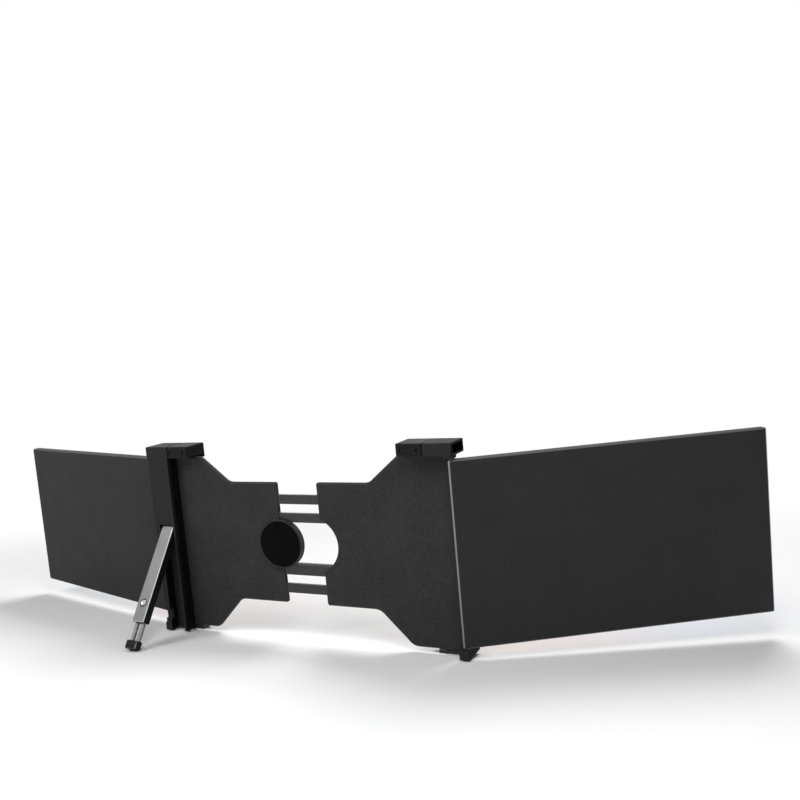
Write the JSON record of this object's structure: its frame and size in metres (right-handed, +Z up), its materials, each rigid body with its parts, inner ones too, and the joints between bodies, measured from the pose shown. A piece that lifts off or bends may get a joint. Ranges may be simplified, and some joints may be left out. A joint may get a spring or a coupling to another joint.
{
  "type": "laptop screen extender",
  "caption": "Folding screen extender that hooks over a laptop lid: sliding H-shaped back with rack and pinion, a hinged screen on each side and a telescopic kickstand.",
  "frame": {"origin": "on the plane of the laptop lid's back, midway between the two half plates and at the height of the slide", "axes": "+X to the user's right, -Y towards the user, +Z up"},
  "size_m": [0.9483, 0.2497, 0.219],
  "materials": {
    "plate_plastic": "fine-grained matte black",
    "frame_plastic": "satin dark grey",
    "screen_back_plastic": "matte charcoal",
    "bezel_plastic": "satin dark grey",
    "clip_plastic": "satin black",
    "end_cap_plastic": "dark gloss",
    "hook_metal": "satin grey",
    "display": "lit display",
    "board": "circuit board",
    "port_metal": "bare metal",
    "button_plastic": "matte black",
    "silicone_white": "soft white",
    "silicone_black": "soft black",
    "screw_steel": "black oxide",
    "hinge_steel": "bare metal",
    "rail_metal": "satin dark grey",
    "gear_plastic": "natural acetal",
    "hub_gloss": "high gloss black",
    "hub_trim": "dark trim",
    "stand_black": "matte black",
    "stand_silver": "brushed silver",
    "button_silver": "bright silver",
    "rod_steel": "sandblasted steel",
    "foot_rubber": "matte black"
  },
  "bodies": {
    "right_frame": {"right_column": "frame_plastic", "column_screws": "screw_steel", "rail_guide_posts": "gear_plastic", "pinion_axle": "hinge_steel", "hub_ring": "hub_trim", "hub_cap": "hub_gloss", "kickstand_pin": "hinge_steel", "right_plate_rear_cover": "plate_plastic", "right_plate_front_cover": "plate_plastic", "right_plate_screws": "screw_steel", "right_lid_pads": "silicone_black", "right_top_clip": "clip_plastic", "right_clip_pad": "silicone_white", "right_clip_screws": "screw_steel", "right_side_hook": "hook_metal", "right_hook_screws": "screw_steel", "right_arm_end_cap": "end_cap_plastic", "right_hinge_pins": "hinge_steel"},
    "left_frame": {"left_frame_bracket": "frame_plastic", "upper_rail": "rail_metal", "rack_rail": "rail_metal", "rail_screws": "screw_steel", "left_plate_rear_cover": "plate_plastic", "left_plate_front_cover": "plate_plastic", "left_plate_screws": "screw_steel", "left_lid_pads": "silicone_black", "left_top_clip": "clip_plastic", "left_clip_pad": "silicone_white", "left_clip_screws": "screw_steel", "left_side_hook": "hook_metal", "left_hook_screws": "screw_steel", "left_arm_end_cap": "end_cap_plastic", "left_hinge_pins": "hinge_steel"},
    "pinion": {"damper_pinion": "gear_plastic"},
    "left_screen": {"left_screen_back_cover": "screen_back_plastic", "left_screen_bezel": "bezel_plastic", "left_display_panel": "display", "left_driver_board": "board", "left_screen_ports": "port_metal", "left_hinge_brackets": "hinge_steel"},
    "right_screen": {"right_screen_back_cover": "screen_back_plastic", "right_screen_bezel": "bezel_plastic", "right_display_panel": "display", "right_driver_board": "board", "right_screen_ports": "port_metal", "right_hinge_brackets": "hinge_steel"},
    "left_power_button": {"left_power_button": "button_plastic"},
    "left_menu_button": {"left_menu_button": "button_plastic"},
    "right_power_button": {"right_power_button": "button_plastic"},
    "right_menu_button": {"right_menu_button": "button_plastic"},
    "kickstand_arm": {"kickstand_bar": "stand_black", "kickstand_face": "stand_silver", "release_ring": "end_cap_plastic"},
    "kickstand_leg": {"kickstand_rods": "rod_steel", "kickstand_foot": "foot_rubber"},
    "release_button": {"release_button": "button_silver"}
  },
  "joints": [
    {"name": "width_slide", "type": "slide", "parent": "right_frame", "child": "left_frame", "axis": [-1, 0, 0], "range_m": [-0.028, 0.025]},
    {"name": "pinion_turn", "type": "hinge", "parent": "right_frame", "child": "pinion", "pos_m": [0.0255, 0.003, -0.0006], "axis": [0, 1, 0], "range_deg": [-80, 67]},
    {"name": "left_screen_hinge", "type": "hinge", "parent": "left_frame", "child": "left_screen", "pos_m": [-0.1865, 0.014, 0], "axis": [0, 0, 1], "range_deg": [-211, 59]},
    {"name": "right_screen_hinge", "type": "hinge", "parent": "right_frame", "child": "right_screen", "pos_m": [0.1865, -0.00525, 0], "axis": [0, 0, -1], "range_deg": [-55, 165]},
    {"name": "kickstand_hinge", "type": "hinge", "parent": "right_frame", "child": "kickstand_arm", "pos_m": [0.172, 0.0132, 0.014], "axis": [1, 0, 0], "range_deg": [-36, 24]},
    {"name": "kickstand_extend", "type": "slide", "parent": "kickstand_arm", "child": "kickstand_leg", "axis": [0, 0.5878, -0.809], "range_m": [-0.019, 0.03]},
    {"name": "release_press", "type": "slide", "parent": "kickstand_arm", "child": "release_button", "axis": [0, -0.809, -0.5878], "range_m": [0, 0.001], "stiffness_N_per_m": 400, "springref_m": -0.001},
    {"name": "left_power_press", "type": "slide", "parent": "left_screen", "child": "left_power_button", "axis": [0.8572, 0.515, 0], "range_m": [0, 0.0006], "stiffness_N_per_m": 400, "springref_m": -0.001},
    {"name": "left_menu_press", "type": "slide", "parent": "left_screen", "child": "left_menu_button", "axis": [0.8572, 0.515, 0], "range_m": [0, 0.0006], "stiffness_N_per_m": 400, "springref_m": -0.001},
    {"name": "right_power_press", "type": "slide", "parent": "right_screen", "child": "right_power_button", "axis": [-0.9659, 0.2588, 0], "range_m": [0, 0.0006], "stiffness_N_per_m": 400, "springref_m": -0.001},
    {"name": "right_menu_press", "type": "slide", "parent": "right_screen", "child": "right_menu_button", "axis": [-0.9659, 0.2588, 0], "range_m": [0, 0.0006], "stiffness_N_per_m": 400, "springref_m": -0.001}
  ],
  "couplings": [
    {"joint": "pinion_turn", "follows": "width_slide", "rad_per_m": 45.455}
  ]
}
